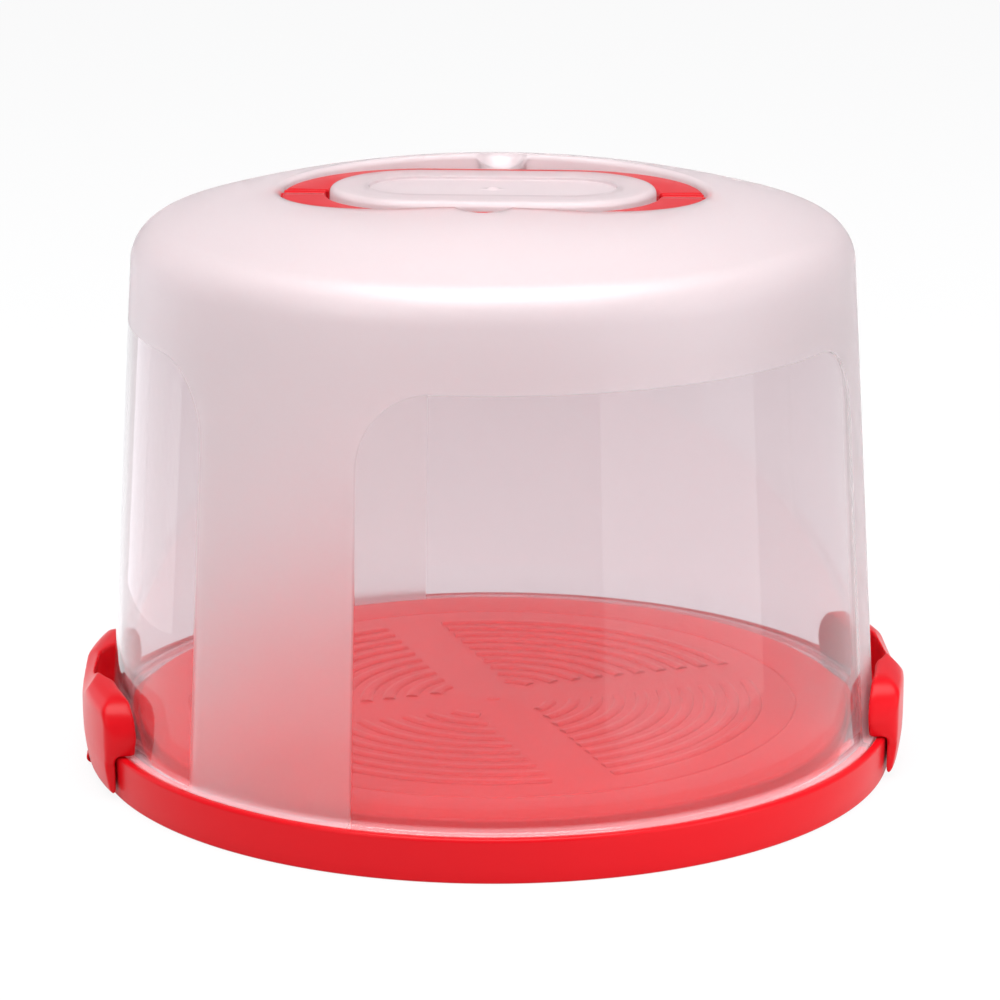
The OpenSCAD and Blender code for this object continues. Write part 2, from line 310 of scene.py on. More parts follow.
# %% From a node tree to a plain mesh
def made_by_nodes(name, tree):
    """Runs a node tree on an empty mesh and keeps the result as a plain mesh object."""
    seed = bpy.data.objects.new(name + "_seed", bpy.data.meshes.new(name + "_seed"))
    bpy.context.scene.collection.objects.link(seed)
    seed.modifiers.new("nodes", "NODES").node_group = tree
    done = seed.evaluated_get(bpy.context.evaluated_depsgraph_get())
    mesh = bpy.data.meshes.new_from_object(done)
    bpy.data.objects.remove(seed)
    obj = bpy.data.objects.new(name, mesh)
    bpy.context.scene.collection.objects.link(obj)
    return obj


# %% [markdown]
# ## Red moulded plastic
# The tray, latches and handles are the same glossy red. On the handles the red is darkened a little as
# painted shade, because they lie deep in their well. Moulded plastic is never a flat colour: its shade and
# gloss vary a little from place to place, and its skin has a very fine grain. All three come from noise in
# Object coordinates, so they stay with the piece when it moves.

# %% Helpers for plastics
noise_middle = 0.3, 0.7              # nearly all values of a noise lie between these


def principled(name):
    made = bpy.data.materials.new(name)
    made.use_nodes = True
    tree = made.node_tree
    return made, tree, tree.nodes["Principled BSDF"]


def noise(tree, scale, detail=2.0):
    """Noise in the piece's own coordinates; the scale counts waves per metre."""
    where = node(tree, "ShaderNodeTexCoord")
    made = node(tree, "ShaderNodeTexNoise")
    made.inputs["Scale"].default_value = scale
    made.inputs["Detail"].default_value = detail
    tree.links.new(where.outputs["Object"], made.inputs["Vector"])
    return made.outputs["Fac"]


def spread(tree, value, low, high):
    """Maps the middle of a noise to the range from low to high."""
    made = node(tree, "ShaderNodeMapRange")
    made.inputs["From Min"].default_value, made.inputs["From Max"].default_value = noise_middle
    made.inputs["To Min"].default_value = low
    made.inputs["To Max"].default_value = high
    tree.links.new(value, made.inputs["Value"])
    return made.outputs["Result"]


def grain(tree, shader, scale, height):
    """A fine bump on a shader, with its height in millimetres."""
    bump = node(tree, "ShaderNodeBump")
    bump.inputs["Strength"].default_value = 1.0
    bump.inputs["Distance"].default_value = height * mm
    tree.links.new(noise(tree, scale, 3.0), bump.inputs["Height"])
    tree.links.new(bump.outputs["Normal"], shader.inputs["Normal"])
    return bump


def mix_colours(tree, factor, first, second):
    """A mix of two colours, each given as three numbers or as another node's output."""
    made = node(tree, "ShaderNodeMix", data_type="RGBA")
    tree.links.new(factor, made.inputs["Factor"])
    for slot, colour in zip(made.inputs[6:8], (first, second)):
        if isinstance(colour, tuple):
            slot.default_value = (*colour, 1)
        else:
            tree.links.new(colour, slot)
    return made.outputs[2]


# %% Red plastic
red, darker_places = (0.62, 0.004, 0.009), 0.96
red_roughness = 0.285, 0.32
shade_waves, gloss_waves, grain_waves = 9.0, 60.0, 1400.0      # per metre
red_bending, red_mirror, red_grain = 1.49, 0.14, 0.003


def red_plastic(name, colour):
    made, tree, shader = principled(name)
    dark = tuple(c * darker_places for c in colour)
    shade = spread(tree, noise(tree, shade_waves), 0.0, 1.0)
    tree.links.new(mix_colours(tree, shade, dark, colour), shader.inputs["Base Color"])
    tree.links.new(spread(tree, noise(tree, gloss_waves), *red_roughness), shader.inputs["Roughness"])
    shader.inputs["IOR"].default_value = red_bending
    shader.inputs["Specular IOR Level"].default_value = red_mirror
    grain(tree, shader, grain_waves, red_grain)
    return made


moulded_red = red_plastic("moulded_red", red)
tray.data.materials.append(moulded_red)
ripples = made_by_nodes("tray_ripples", ripple_tree(moulded_red))
print("ripple faces:", len(ripples.data.polygons))

# %% [markdown]
# ## Knuckles and ribs of the tray
# Each latch turns in two knuckles on the tray's side. A knuckle is a short barrel, revolved about the
# hinge's axis, and a small block ties it to the band. Under the floor, four thin ribs and a ring
# stiffen the plate.

# %% Shapes about any axis, blocks and joins
def turned(path, origin, axis, count=40):
    """Rings of a path (radius, distance) about any axis through origin."""
    axis = Vector(axis).normalized()
    side = axis.orthogonal().normalized()
    other = axis.cross(side)
    rings = []
    for r, along in path:
        centre = Vector(origin) + axis * along
        angles = [2 * math.pi * j / count for j in range(count)]
        rings.append([tuple(centre + side * r * math.cos(a) + other * r * math.sin(a)) for a in angles])
    return rings


def joined(name, parts):
    """One mesh object from several (verts, faces)."""
    verts, faces = [], []
    for part_verts, part_faces in parts:
        faces += [tuple(i + len(verts) for i in face) for face in part_faces]
        verts += part_verts
    return outwards(add_mesh(name, verts, faces))


def block(low, high):
    """Points and faces of a box between two corners."""
    xs, ys, zs = zip(low, high)
    verts = [(x, y, z) for x in xs for y in ys for z in zs]
    faces = [(0, 1, 3, 2), (4, 6, 7, 5), (0, 4, 5, 1), (2, 3, 7, 6), (0, 2, 6, 4), (1, 5, 7, 3)]
    return verts, faces


def mirrored(part, sign):
    verts, faces = part
    return [(x * sign, y, z) for x, y, z in verts], faces


# %% Knuckles
rod_x, rod_z, rod_r = 156.9, 3.2, 1.25
lug_y, lug_w, lug_r = 9.0, 6.0, 2.2
hole_r = rod_r + 0.05
web_root, web_side, web_low = 2.0, 0.3, 0.2      # how far the block starts inside the band and its lugs

barrel_path = filleted([(hole_r, 0, 0.2), (lug_r, 0, 0.4), (lug_r, lug_w, 0.4), (hole_r, lug_w, 0.2)],
                       steps=4, closed=True)
knuckle_parts = []
for sign in (-1, 1):
    for y in (-lug_y, lug_y):
        barrel = ring_skin(turned(barrel_path, (rod_x, y - lug_w / 2, rod_z), (0, 1, 0)), wrap=True)
        web = block((foot_r - web_root, y - lug_w / 2 + web_side, rod_z - lug_r + web_low),
                    (rod_x - rod_r - web_side, y + lug_w / 2 - web_side, rod_z + lug_r - web_low))
        knuckle_parts += [mirrored(barrel, sign), mirrored(web, sign)]
knuckles = joined("tray_knuckles", knuckle_parts)
knuckles.data.materials.append(moulded_red)
print("knuckle faces:", len(knuckles.data.polygons))

# %% Underside ribs
rib_foot, rib_half, rib_ring_r = 1.5, 0.9, 41.0
rib_top = floor_z - tray_wall + 0.2              # a little way into the plate
rib_from, rib_to = rib_ring_r - 1.0, floor_r - 3.0
rib_parts = []
for quarter in range(4):
    turn = Matrix.Rotation(math.radians(ripple_turn + 90 * quarter), 3, "Z")
    verts, faces = block((rib_from, -rib_half, rib_foot), (rib_to, rib_half, rib_top))
    rib_parts.append(([tuple(turn @ Vector(v)) for v in verts], faces))
ring_in = rib_ring_r - 2 * rib_half
ring_path = [(rib_ring_r, rib_foot), (rib_ring_r, rib_top), (ring_in, rib_top), (ring_in, rib_foot)]
rib_parts.append(ring_skin(revolve(ring_path, 128), wrap=True))
ribs = joined("tray_ribs", rib_parts)
ribs.data.materials.append(moulded_red)
print("rib faces:", len(ribs.data.polygons))

# %% [markdown]
# ## The dome
# The dome is a thin shell, and light passes through two surfaces of it, so both are modelled. Its wall
# leans in by a few degrees, turns through a tight shoulder into a shallow crown, and then drops into a
# long well round an island with a shallow dish. Every edge is a fillet. All rings of the top share the
# same directions, so a ring may change from a circle to a pill with no seam.

# %% Dome sizes
dome_turn = math.radians(-8.2)
wall, lean = 2.0, math.radians(3.57)
foot_wall_r, flange_r, flange_low, flange_top = 149.0, 151.6, 14.1, 16.9
crown_top, crown_curve, shoulder_r = 229.5, 451.0, 16.0
well_l, well_w, well_z = 81.0, 55.0, 214.2
island_l, island_w, island_z = 62.0, 34.5, 223.4
dish_l, dish_w, dish_depth = 47.0, 19.0, 1.4
edge_r, well_fillet = 2.6, 1.4
dish_edge_r, dish_fillet = 0.7, 0.5
dimple_r, dimple_h = 2.4, 0.8
notch_r, notch_in, notch_z = 11.7, 2.0, 231.0
print("well and island in mm:", (2 * well_l, 2 * well_w), (2 * island_l, 2 * island_w))

# %% Rings that share their directions
arc_steps, side_steps = 80, 40
pill_spots = []      # for each point: place along the straight, from -1 to 1, and angle of the normal
for i in range(arc_steps):
    pill_spots.append((1, -math.pi / 2 + math.pi * i / arc_steps))
for i in range(side_steps):
    pill_spots.append((1 - 2 * i / side_steps, math.pi / 2))
for i in range(arc_steps):
    pill_spots.append((-1, math.pi / 2 + math.pi * i / arc_steps))
for i in range(side_steps):
    pill_spots.append((-1 + 2 * i / side_steps, 3 * math.pi / 2))
ends = np.array([s for s, _ in pill_spots])
normals = np.array([a for _, a in pill_spots])


def pill(half_l, half_w, grow=0.0):
    """Plan points of a pill, grown outwards along its normals."""
    r = half_w + grow
    return np.stack([ends * (half_l - half_w) + r * np.cos(normals), r * np.sin(normals)], axis=1)


headings = np.arctan2(pill(well_l, well_w)[:, 1], pill(well_l, well_w)[:, 0])


def circle(radius):
    """Plan points of a circle, in the same directions as the well's pill."""
    return np.stack([radius * np.cos(headings), radius * np.sin(headings)], axis=1)


def crown_z(plan):
    """Heights of the crown, a shallow part of a ball, over plan points."""
    return crown_top - crown_curve + np.sqrt(crown_curve ** 2 - (plan ** 2).sum(axis=1))


def level(plan, z):
    """A ring at one height, or at a height for each point."""
    return np.column_stack([plan, np.broadcast_to(z, len(plan))])


print("points in a ring:", len(headings))

# %% Dome side: wall and shoulder
# the shoulder's arc touches both the sloping wall and the wide circle of the crown
wall_dir = np.array((-math.sin(lean), math.cos(lean)))
wall_in = np.array((-math.cos(lean), -math.sin(lean)))
foot = np.array((foot_wall_r, flange_low))
crown_centre = np.array((0.0, crown_top - crown_curve))
start = foot + shoulder_r * wall_in - crown_centre
slant = start @ wall_dir
along = -slant + math.sqrt(slant ** 2 - start @ start + (crown_curve - shoulder_r) ** 2)
shoulder_centre = foot + along * wall_dir + shoulder_r * wall_in
crown_edge = crown_centre + crown_curve * (shoulder_centre - crown_centre) / (crown_curve - shoulder_r)
low_angle = math.atan2(*(-wall_in)[::-1])
high_angle = math.atan2(*(crown_edge - shoulder_centre)[::-1])
print("shoulder centre:", shoulder_centre.round(2), "crown meets it at", crown_edge.round(2))

wall_on_flange = foot_wall_r - math.tan(lean) * (flange_top - flange_low)
side_path = filleted([(flange_r - 0.8, flange_low, 0), (flange_r, flange_low, 0.5),
                      (flange_r, flange_top, 0.7), (wall_on_flange, flange_top, 1.0),
                      tuple(foot + along * 0.2 * wall_dir) + (0,)], steps=5)
side_path += [foot + along * t * wall_dir for t in np.linspace(0.25, 1.0, 20)]
side_path += [shoulder_centre + shoulder_r * np.array((math.cos(a), math.sin(a)))
              for a in np.linspace(low_angle, high_angle, 24)[1:]]
outer = [level(circle(r), z) for r, z in side_path]

# %% Dome top: crown, well and island
rim = pill(well_l, well_w, edge_r)
for t in np.concatenate([np.linspace(0, 0.75, 10)[1:], np.linspace(0.75, 1.0, 14)[1:]]):
    plan = circle(crown_edge[0]) * (1 - t) + rim * t
    outer.append(level(plan, crown_z(plan)))


def edge_rings(size, top, bottom, outside, over_r, foot_radius, steps=6):
    """Rings over a rounded edge, down an upright wall and through its foot fillet.

    outside is 1 for a wall that faces out, as the island's, and -1 for one that faces in."""
    made = []
    for a in np.linspace(0, math.pi / 2, steps + 1):
        plan = pill(*size, outside * (math.sin(a) - 1) * over_r)
        made.append(level(plan, top(plan) - over_r * (1 - math.cos(a))))
    for a in np.linspace(0, math.pi / 2, steps + 1):
        plan = pill(*size, outside * (1 - math.cos(a)) * foot_radius)
        made.append(level(plan, bottom + foot_radius * (1 - math.sin(a))))
    return made


rim_shape = edge_rings((well_l, well_w), crown_z, well_z, -1, edge_r, well_fillet)
island_shape = edge_rings((island_l, island_w), lambda plan: island_z, well_z, 1, edge_r, well_fillet)
outer += rim_shape[1:]
moat_out, moat_in = pill(well_l, well_w, -well_fillet), pill(island_l, island_w, well_fillet)
outer += [level(moat_out * (1 - t) + moat_in * t, well_z) for t in (0.25, 0.5, 0.75)]
outer += island_shape[::-1]
print("rings down to the island's top:", len(outer))

# %% The island's dish, with a small raised dimple in its middle
dish_z = island_z - dish_depth
island_top, dish_rim = pill(island_l, island_w, -edge_r), pill(dish_l, dish_w, dish_edge_r)
outer += [level(island_top * (1 - t) + dish_rim * t, island_z) for t in (0.33, 0.67)]
outer += edge_rings((dish_l, dish_w), lambda plan: island_z, dish_z, -1, dish_edge_r, dish_fillet, steps=4)
dish_floor = pill(dish_l, dish_w, -dish_fillet)
dimple_plan = dish_floor / np.linalg.norm(dish_floor, axis=1)[:, None]
for t in (0.2, 0.4, 0.6, 0.8, 0.92):
    outer.append(level(dish_floor * (1 - t) + dimple_plan * dimple_r * t, dish_z))
for r, lift in ((1.0, 0.0), (0.85, 0.35), (0.6, 0.8), (0.3, 1.0), (0.02, 1.0)):
    outer.append(level(dimple_plan * dimple_r * r, dish_z + dimple_h * lift))
outer = np.array(outer)
print("rings of the outer surface:", len(outer))


# %% Finger notches at the well's front and back
def soft_lower(z, other, soft=0.5):
    """The lower of two heights, with the crossing rounded."""
    floor = np.minimum(z, other)
    return floor - soft * np.log(np.exp((floor - z) / soft) + np.exp((floor - other) / soft))


for sign in (1, -1):
    centre = np.array((0.0, (notch_in - well_w) * sign))
    away = np.linalg.norm(outer[..., :2] - centre, axis=2)
    ball = notch_z - np.sqrt(np.clip(notch_r ** 2 - away ** 2, 0, None))
    near = (away < notch_r) & (outer[..., 2] > well_z + 2)
    outer[..., 2] = np.where(near, soft_lower(outer[..., 2], ball), outer[..., 2])

# %% Inner surface, one wall's thickness further in
across = np.roll(outer, -1, axis=1) - np.roll(outer, 1, axis=1)
down = np.gradient(outer, axis=0)
skin_normals = np.cross(across, down)
skin_normals /= np.linalg.norm(skin_normals, axis=2)[..., None] + 1e-12
first_wall = next(i for i, (r, z) in enumerate(side_path) if z > flange_top + 2)
outward_sign = np.sign(skin_normals[first_wall, 0] @ outer[first_wall, 0])
inner = (outer - wall * skin_normals * outward_sign)[first_wall:]
inner_foot_r = foot_wall_r - wall
inner_foot = [level(circle(inner_foot_r - 0.3), flange_low), level(circle(inner_foot_r), flange_low + 0.4)]
verts, faces = ring_skin(list(inner[::-1]) + inner_foot[::-1] + list(outer), start_pole=True, end_pole=True)
turn = Matrix.Rotation(dome_turn, 3, "Z")
dome = outwards(add_mesh("dome_shell", [tuple(turn @ Vector(v)) for v in verts], faces))
print("dome faces:", len(dome.data.polygons))

# %% [markdown]
# ## Where the dome is frosted
# The dome's mould is matt except for three large windows, which are polished. A mask made from the
# piece's own coordinates tells where the windows are: below a level line and between three upright
# strips. The distance to the centre of an upper corner makes that corner round.

# %% Frost mask
frost_line = 174.4                   # height of the windows' upper edge
strip_half = 14.2                    # half width of a frosted strip, in degrees
strip_centre = -9.2                  # heading of one strip; the others follow at thirds of a turn
corner_r, mask_edge = 29.0, 0.4
wall_mid_r = 143.0                   # the wall's radius halfway up, which turns degrees into millimetres


def frost_mask(tree):
    """1 where the dome is frosted and 0 in the windows."""
    where = node(tree, "ShaderNodeTexCoord")
    split = node(tree, "ShaderNodeSeparateXYZ")
    tree.links.new(where.outputs["Object"], split.inputs["Vector"])
    heading = math_node(tree, "ARCTAN2", split.outputs["Y"], split.outputs["X"])
    turned_by = math_node(tree, "SUBTRACT", heading, math.radians(strip_centre))
    half_third = math.radians(60)
    nearest = node(tree, "ShaderNodeMath", operation="WRAP")
    tree.links.new(turned_by, nearest.inputs[0])
    nearest.inputs[1].default_value = half_third
    nearest.inputs[2].default_value = -half_third
    from_strip = math_node(tree, "SUBTRACT", math_node(tree, "ABSOLUTE", nearest.outputs[0]),
                           math.radians(strip_half))
    into_window = math_node(tree, "MULTIPLY", from_strip, wall_mid_r * mm)
    below = math_node(tree, "SUBTRACT", frost_line * mm, split.outputs["Z"])
    side = math_node(tree, "MAXIMUM", math_node(tree, "SUBTRACT", corner_r * mm, into_window), 0.0)
    above = math_node(tree, "MAXIMUM", math_node(tree, "SUBTRACT", corner_r * mm, below), 0.0)
    reach = math_node(tree, "SQRT", math_node(tree, "ADD", math_node(tree, "MULTIPLY", side, side),
                                              math_node(tree, "MULTIPLY", above, above)))
    edge = node(tree, "ShaderNodeMapRange", interpolation_type="SMOOTHSTEP")
    edge.inputs["From Min"].default_value = (corner_r - mask_edge) * mm
    edge.inputs["From Max"].default_value = (corner_r + mask_edge) * mm
    tree.links.new(reach, edge.inputs["Value"])
    return edge.outputs["Result"]


# %% Blends by height and by mask
def rising(tree, low, high):
    """0 below one height of the piece, 1 above another, and smooth in between."""
    where = node(tree, "ShaderNodeTexCoord")
    split = node(tree, "ShaderNodeSeparateXYZ")
    tree.links.new(where.outputs["Object"], split.inputs["Vector"])
    made = node(tree, "ShaderNodeMapRange", interpolation_type="SMOOTHSTEP")
    made.inputs["From Min"].default_value = low * mm
    made.inputs["From Max"].default_value = high * mm
    tree.links.new(split.outputs["Z"], made.inputs["Value"])
    return made.outputs["Result"]


def between(tree, mask, low, high):
    """A number that is low where the mask is 0 and high where it is 1."""
    made = node(tree, "ShaderNodeMapRange")
    made.inputs["To Min"].default_value = low
    made.inputs["To Max"].default_value = high
    tree.links.new(mask, made.inputs["Value"])
    return made.outputs["Result"]


# %% [markdown]
# ## Frosted and clear plastic
# Seen through the matt part everything blurs to a soft glow, and through the windows the tray shows
# clearly. One material does both, and the mask blends its values. A sheet as thin as this hardly bends
# light. That is why the windows get a low index, and a clear coat gives them back their reflections.
# The flange at the foot is whiter than the wall, and the crown lets a little less light through. For
# the light of a lamp the plastic is only a tinted pane, so that it reaches the tray.

# %% Dome plastic
# each pair holds the value in the windows and the value where it is frosted
dome_tint = (0.775, 0.71, 0.725), (0.84, 0.775, 0.785)
dome_roughness, dome_passes, dome_bending = (0.05, 0.5), (0.97, 0.935), (1.1, 1.45)
dome_coat, coat_roughness, coat_bending = (0.65, 0.3), (0.04, 0.3), 1.45
dome_grain, frost_waves, frost_bump = (0.1, 1.0), 1200.0, 0.002
lamp_tint = (0.93, 0.89, 0.92), (0.64, 0.61, 0.63)       # what the dome leaves of a lamp's light
flange_tint, flange_passes, crown_passes = (1.0, 0.86, 0.88), 0.8, 0.88
foot_from, foot_to = flange_top + 1.0, flange_top + 2.0
crown_from, crown_to = frost_line + 6.0, crown_top - 12.0


def dome_plastic():
    made, tree, shader = principled("dome_plastic")
    link = tree.links.new
    mask = frost_mask(tree)
    above_foot = rising(tree, foot_from, foot_to)
    in_crown = rising(tree, crown_from, crown_to)
    wall_tint = mix_colours(tree, mask, *dome_tint)
    link(mix_colours(tree, above_foot, flange_tint, wall_tint), shader.inputs["Base Color"])
    link(between(tree, mask, *dome_roughness), shader.inputs["Roughness"])
    wall_passes = math_node(tree, "MULTIPLY", between(tree, mask, *dome_passes),
                            between(tree, above_foot, flange_passes, 1.0))
    passes = math_node(tree, "MULTIPLY", wall_passes, between(tree, in_crown, 1.0, crown_passes))
    link(passes, shader.inputs["Transmission Weight"])
    link(between(tree, mask, *dome_bending), shader.inputs["IOR"])
    link(between(tree, mask, *dome_coat), shader.inputs["Coat Weight"])
    shader.inputs["Coat IOR"].default_value = coat_bending
    link(between(tree, mask, *coat_roughness), shader.inputs["Coat Roughness"])
    bump = grain(tree, shader, frost_waves, frost_bump)
    link(between(tree, mask, *dome_grain), bump.inputs["Strength"])

    # thin plastic lets lamp light through to the tray
    open_shader = node(tree, "ShaderNodeBsdfTransparent")
    link(mix_colours(tree, mask, *lamp_tint), open_shader.inputs["Color"])
    choose = node(tree, "ShaderNodeMixShader")
    link(node(tree, "ShaderNodeLightPath").outputs["Is Shadow Ray"], choose.inputs["Fac"])
    link(shader.outputs["BSDF"], choose.inputs[1])
    link(open_shader.outputs["BSDF"], choose.inputs[2])
    link(choose.outputs["Shader"], tree.nodes["Material Output"].inputs["Surface"])
    return made


dome.data.materials.append(dome_plastic())
print("dome material:", dome.data.materials[0].name)

# %% [markdown]
# ## The two halves of the handle
# Each half is a flat crescent that lies between the island and the well's wall. Its outlines are the
# same pills as the well's, so a section with rounded edges is carried along them from end to end.
# At each end a round eye and a stub pin lie on the half's own turning axis.

# %% Handle sizes
handle_t, handle_lift = 5.6, 0.4
well_gap, island_gap, axis_y = 1.0, 1.4, 3.2
pin_r, eye_r = 1.6, 2.75
eye_in, eye_out, pin_end = island_l + 2, well_l - well_gap - 0.1, 85.7
handle_low = well_z + handle_lift
axis_z = handle_low + handle_t / 2
handle_round, skirt, skin = 1.2, 2.0, 2.2
low_round, low_cut = 0.5, 0.15       # the small chamfer of the lower edges
skirt_draft, solid_depth = 0.1, 0.02
arc_share = 0.36                     # share of the bail's length in each round end
hollow_from, hollow_step = 0.06, 0.002
print("handle's axis: y", axis_y, "z", round(axis_z, 2))


# %% Section and path of the bail
def handle_section(hollow):
    """Loop of (side, inset, height): side 0 follows the island and side 1 the well's wall."""
    top, low, r = handle_low + handle_t, handle_low, handle_round
    arc = [(r * (1 - math.cos(a)), r * (1 - math.sin(a))) for a in np.linspace(0, math.pi / 2, 6)]
    loop = [(0, d, top - drop) for d, drop in arc]
    loop += [(1, d, top - drop) for d, drop in arc[::-1]]
    foot_edge = [(0, low + low_round), (low_cut, low + low_cut), (low_round, low), (skirt, low)]
    loop += [(1, inset, z) for inset, z in foot_edge]
    depth = handle_t - skin if hollow else solid_depth
    loop += [(side, skirt + skirt_draft, low + depth) for side in (1, 0)]
    loop += [(0, inset, z) for inset, z in foot_edge[::-1]]
    return loop


def handle_point(side, inset, along_bail):
    """Plan point of the front half, for along_bail from 0 at its left end to 1 at its right end."""
    half_l, half_w = ((island_l + island_gap, island_w + island_gap),
                      (well_l - well_gap, well_w - well_gap))[side]
    centre = half_l - half_w
    r = half_w + (inset, -inset)[side]
    first = math.asin(axis_y / r)
    if along_bail < arc_share:
        a = math.pi + first + (math.pi / 2 - first) * along_bail / arc_share
        return -centre + r * math.cos(a), r * math.sin(a)
    if along_bail > 1 - arc_share:
        a = -first - (math.pi / 2 - first) * (1 - along_bail) / arc_share
        return centre + r * math.cos(a), r * math.sin(a)
    t = (along_bail - arc_share) / (1 - 2 * arc_share)
    return -centre + 2 * centre * t, -r


# %% Handle halves
# painted shade: the handles' red is made darker to stand in for the shade down in their well
handle_painted_shade = 0.82
handle_red_painted_shade = red_plastic("handle_red_painted_shade", tuple(c * handle_painted_shade for c in red))


def handle_half(name, turned_by):
    solid_end = [0, 0.02, 0.04, hollow_from]
    inside = hollow_from + hollow_step
    places = solid_end + list(np.linspace(inside, 1 - inside, 90)) + [1 - t for t in solid_end[::-1]]
    rings = []
    for t in places:
        hollow = hollow_from < t < 1 - hollow_from
        rings.append([(*handle_point(side, inset, t), z) for side, inset, z in handle_section(hollow)])
    parts = [ring_skin(rings, start_pole=True, end_pole=True)]
    for sign in (-1, 1):
        eye = filleted([(pole_r, eye_in, 0), (eye_r, eye_in, 0.5), (eye_r, eye_out, 0.5),
                        (pin_r, eye_out, 0.1), (pin_r, pin_end, 0.4), (pole_r, pin_end, 0)], steps=4)
        rings = turned(eye, (0, -axis_y, axis_z), (sign, 0, 0), 48)
        parts.append(ring_skin(rings, start_pole=True, end_pole=True))
    spin = Matrix.Rotation(dome_turn + turned_by, 3, "Z")
    parts = [([tuple(spin @ Vector(v)) for v in verts], faces) for verts, faces in parts]
    made = joined(name, parts)
    made.data.materials.append(handle_red_painted_shade)
    return made


front_handle = handle_half("front_handle_bail", 0.0)
rear_handle = handle_half("rear_handle_bail", math.pi)
print("handle faces:", len(front_handle.data.polygons), len(rear_handle.data.polygons))

# %% [markdown]
# ## The latches
# A latch is a finger scoop with a hook, a hinge rod and cored ends, and these cross in ways that are
# hard to draw as rings. The working model already has the exact solids, so a copy of each is remeshed
# into even small faces and smoothed. That rounds every edge by a millimetre or so, as a mould does.

# %% Latches
latch_voxel, latch_rounds, latch_weld = 0.5, 40, 0.005


def softened(name, source):
    """A copy of a solid of the working model with rounded edges."""
    copy = source.data.copy()
    copy.materials.clear()
    made = bpy.data.objects.new(name, copy)
    bpy.context.scene.collection.objects.link(made)
    work = bmesh.new()
    work.from_mesh(copy)
    bmesh.ops.remove_doubles(work, verts=work.verts, dist=latch_weld * mm)
    work.to_mesh(copy)
    work.free()
    remesh = made.modifiers.new("even", "REMESH")
    remesh.mode = "VOXEL"
    remesh.voxel_size = latch_voxel * mm
    remesh.use_smooth_shade = True
    smooth = made.modifiers.new("soft", "SMOOTH")
    smooth.factor, smooth.iterations = 0.5, latch_rounds
    done = made.evaluated_get(bpy.context.evaluated_depsgraph_get())
    mesh = bpy.data.meshes.new_from_object(done)
    made.modifiers.clear()
    made.data = mesh
    mesh.materials.clear()
    mesh.materials.append(moulded_red)
    return made


left_latch = softened("left_latch_scoop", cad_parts["left_latch"])
right_latch = softened("right_latch_scoop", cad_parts["right_latch"])
print("latch faces:", len(left_latch.data.polygons))

# %% [markdown]
# ## What carries each piece
# Every piece rides on a body of the working model, so it moves when the joint moves. The main pieces
# also hide the plain solid that they stand for. Ripples, knuckles and ribs only ride on the tray.

# %% Ride and replace
for piece, body, stands_for in ((tray, "tray", "tray"), (dome, "dome", "dome"),
                                (front_handle, "front_handle", "front_handle"),
                                (rear_handle, "rear_handle", "rear_handle"),
                                (left_latch, "left_latch", "left_latch"),
                                (right_latch, "right_latch", "right_latch")):
    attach(piece, body)
    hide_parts(stands_for)
for piece in (ripples, knuckles, ribs):
    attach(piece, "tray")

# %% [markdown]
# ## Floor and world
# The carrier stands on a pale floor in an even white room. To the eye and through clear plastic both
# are plain white. On the object they shine at an ordinary level, and in reflections they are dimmer,
# so that the lamps stand out in the gloss. A Light Path node tells these kinds of light apart. A part
# of the floor stays ordinary paint for every kind, and so it keeps the carrier's shadow.

# %% Floor and world
floor_paint, floor_half, floor_below = (0.86, 0.86, 0.86), 6000.0, 0.05
floor_white, mirrored_less = 0.9, 0.5
room_strength, room_tint = 0.45, (0.93, 0.93, 1.0)


def light_path_any(tree, *names):
    """1 for a ray of any of the named kinds, and else 0."""
    rays = node(tree, "ShaderNodeLightPath")
    total = rays.outputs[names[0]]
    for name in names[1:]:
        total = math_node(tree, "MAXIMUM", total, rays.outputs[name])
    return total


def pale_floor():
    made = bpy.data.materials.new("pale_floor")
    made.use_nodes = True
    tree = made.node_tree
    tree.nodes.clear()
    plain = node(tree, "ShaderNodeBsdfDiffuse")
    plain.inputs["Color"].default_value = (*floor_paint, 1)
    white = node(tree, "ShaderNodeEmission")
    white.inputs["Color"].default_value = (1, 1, 1, 1)
    mix = node(tree, "ShaderNodeMixShader")
    seen = light_path_any(tree, "Is Camera Ray", "Is Glossy Ray", "Is Transmission Ray")
    mirrored = light_path_any(tree, "Is Glossy Ray")
    share = math_node(tree, "SUBTRACT", math_node(tree, "MULTIPLY", seen, floor_white),
                      math_node(tree, "MULTIPLY", mirrored, mirrored_less))
    tree.links.new(share, mix.inputs["Fac"])
    tree.links.new(plain.outputs["BSDF"], mix.inputs[1])
    tree.links.new(white.outputs["Emission"], mix.inputs[2])
    tree.links.new(mix.outputs["Shader"], node(tree, "ShaderNodeOutputMaterial").inputs["Surface"])
    return made


floor_corners = [(x * floor_half, y * floor_half, -floor_below)
                 for x, y in ((-1, -1), (1, -1), (1, 1), (-1, 1))]
floor_sheet = add_mesh("floor", floor_corners, [(0, 1, 2, 3)])
floor_sheet.data.materials.append(pale_floor())
print("floor half width in metres:", floor_half * mm)

# %% World
world = bpy.data.worlds.new("white_room")
world.use_nodes = True
bpy.context.scene.world = world
sky = world.node_tree
sky.nodes.clear()
lit = node(sky, "ShaderNodeBackground")
lit.inputs["Strength"].default_value = room_strength
lit.inputs["Color"].default_value = (*room_tint, 1)
shown = node(sky, "ShaderNodeBackground")
shown.inputs["Strength"].default_value = 1.0
shown.inputs["Color"].default_value = (1, 1, 1, 1)
choose = node(sky, "ShaderNodeMixShader")
sky.links.new(light_path_any(sky, "Is Camera Ray", "Is Transmission Ray"), choose.inputs["Fac"])
sky.links.new(lit.outputs["Background"], choose.inputs[1])
sky.links.new(shown.outputs["Background"], choose.inputs[2])
sky.links.new(choose.outputs["Shader"], node(sky, "ShaderNodeOutputWorld").inputs["Surface"])
print("room strength:", room_strength)

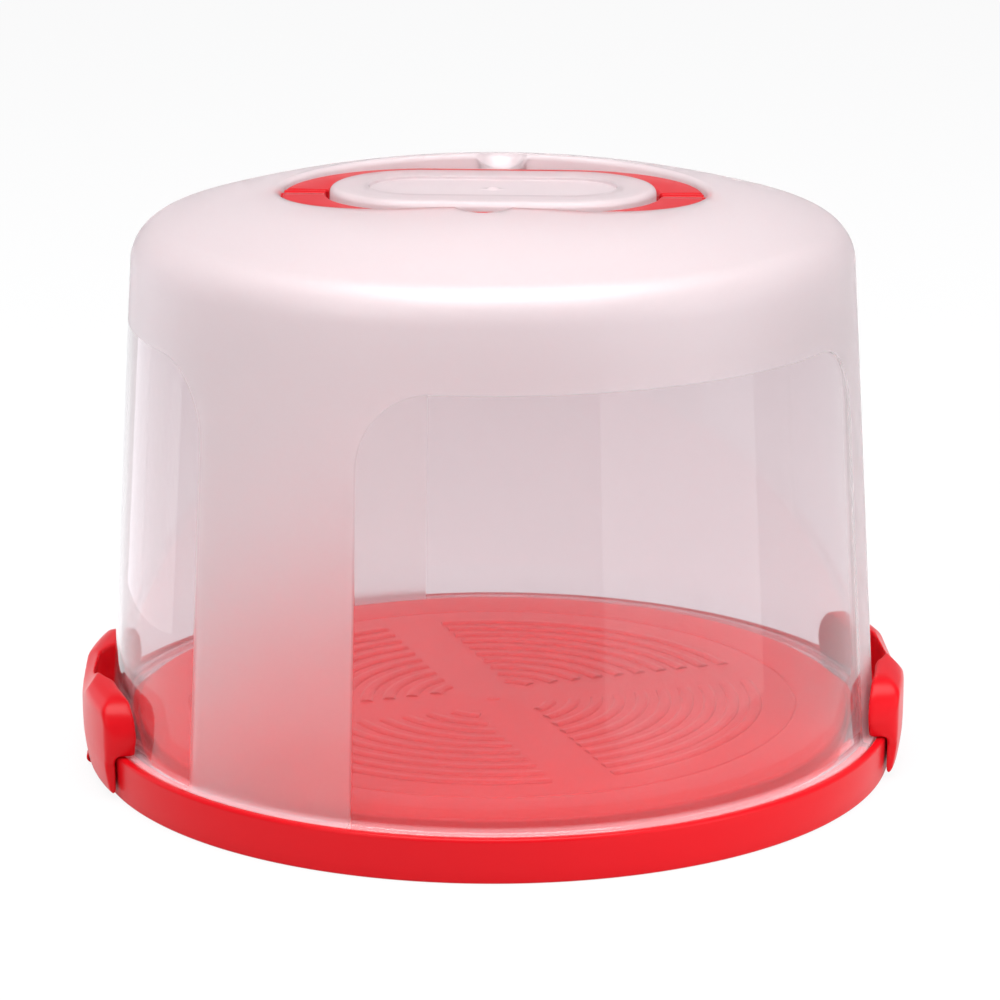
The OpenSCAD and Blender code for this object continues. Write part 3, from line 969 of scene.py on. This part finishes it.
# %% [markdown]
# ## Softboxes and standing cards
# A large softbox overhead gives most of the light, and two upright ones in front model the round of the
# wall. Two dim lit cards stand on the floor close to the carrier, as a photographer sets them. They
# draw the long upright reflections with a clean edge that show how smooth the windows are.

# %% Softboxes
axis_middle = (0, 0, 0.12)
white_light, cool_light, cooler_light = (1, 1, 1), (0.95, 0.96, 1.0), (0.9, 0.92, 1.0)


def softbox(name, place, aim, width, height, watts, colour=white_light):
    """An area lamp that the camera doesn't see, with places and sizes in metres."""
    lamp = bpy.data.lights.new(name, "AREA")
    lamp.shape = "RECTANGLE"
    lamp.size, lamp.size_y = width, height
    lamp.energy = watts
    lamp.color = colour
    obj = bpy.data.objects.new(name, lamp)
    obj.visible_camera = False
    obj.location = place
    obj.rotation_euler = (Vector(aim) - Vector(place)).to_track_quat("-Z", "Y").to_euler()
    bpy.context.scene.collection.objects.link(obj)
    return obj


softbox("key_left", (-1.3, -1.2, 1.2), axis_middle, width=0.7, height=1.3, watts=8)
softbox("key_right", (1.5, -0.9, 0.9), axis_middle, width=0.5, height=1.4, watts=5)
softbox("overhead", (0, -0.2, 1.8), (0, 0, 0.1), width=1.4, height=1.0, watts=38)

# %% Standing cards
card_height = 0.3


def standing_card(name, first, last, watts, colour):
    """A lit card that stands on the floor from one plan point to another and faces the carrier."""
    first, last = Vector((*first, 0)), Vector((*last, 0))
    middle = (first + last) / 2 + Vector((0, 0, card_height / 2))
    facing = (last - first).cross(Vector((0, 0, 1)))
    facing *= 1 if facing.dot(-middle) > 0 else -1
    card = softbox(name, middle, middle + facing, (last - first).length, card_height, watts, colour)
    card.visible_transmission = False      # so that no bright board shows through the dome


standing_card("card_right", (0.146, -0.364), (0.339, -0.148), watts=0.33, colour=cool_light)
standing_card("card_left", (-0.281, 0.238), (-0.396, 0.061), watts=0.16, colour=cooler_light)
print("lamps:", len(bpy.data.lights))

# %% [markdown]
# ## Camera
# The view is from a little above, square to the front but for a few degrees, through a long lens that
# keeps the upright lines nearly parallel. Standard is the plainest way to show colours, so a plastic
# looks as its numbers say.

# %% Camera
lens, film_width, sideways = 136.96, 36.0, 0.00706
camera_turn, camera_pitch = math.radians(-4.7), math.radians(15.02)
camera_distance, camera_height = 1.42406, 0.48197       # from the carrier's axis and above the floor

camera_data = bpy.data.cameras.new("camera")
camera_data.sensor_width, camera_data.lens, camera_data.shift_x = film_width, lens, sideways
camera_data.clip_end = 100.0
camera = bpy.data.objects.new("camera", camera_data)
bpy.context.scene.collection.objects.link(camera)
camera.location = (camera_distance * math.sin(camera_turn), -camera_distance * math.cos(camera_turn),
                   camera_height)
camera.rotation_euler = (math.pi / 2 - camera_pitch, 0, camera_turn)
bpy.context.scene.camera = camera
bpy.context.scene.view_settings.view_transform = "Standard"
print("camera at", [round(v, 3) for v in camera.location])
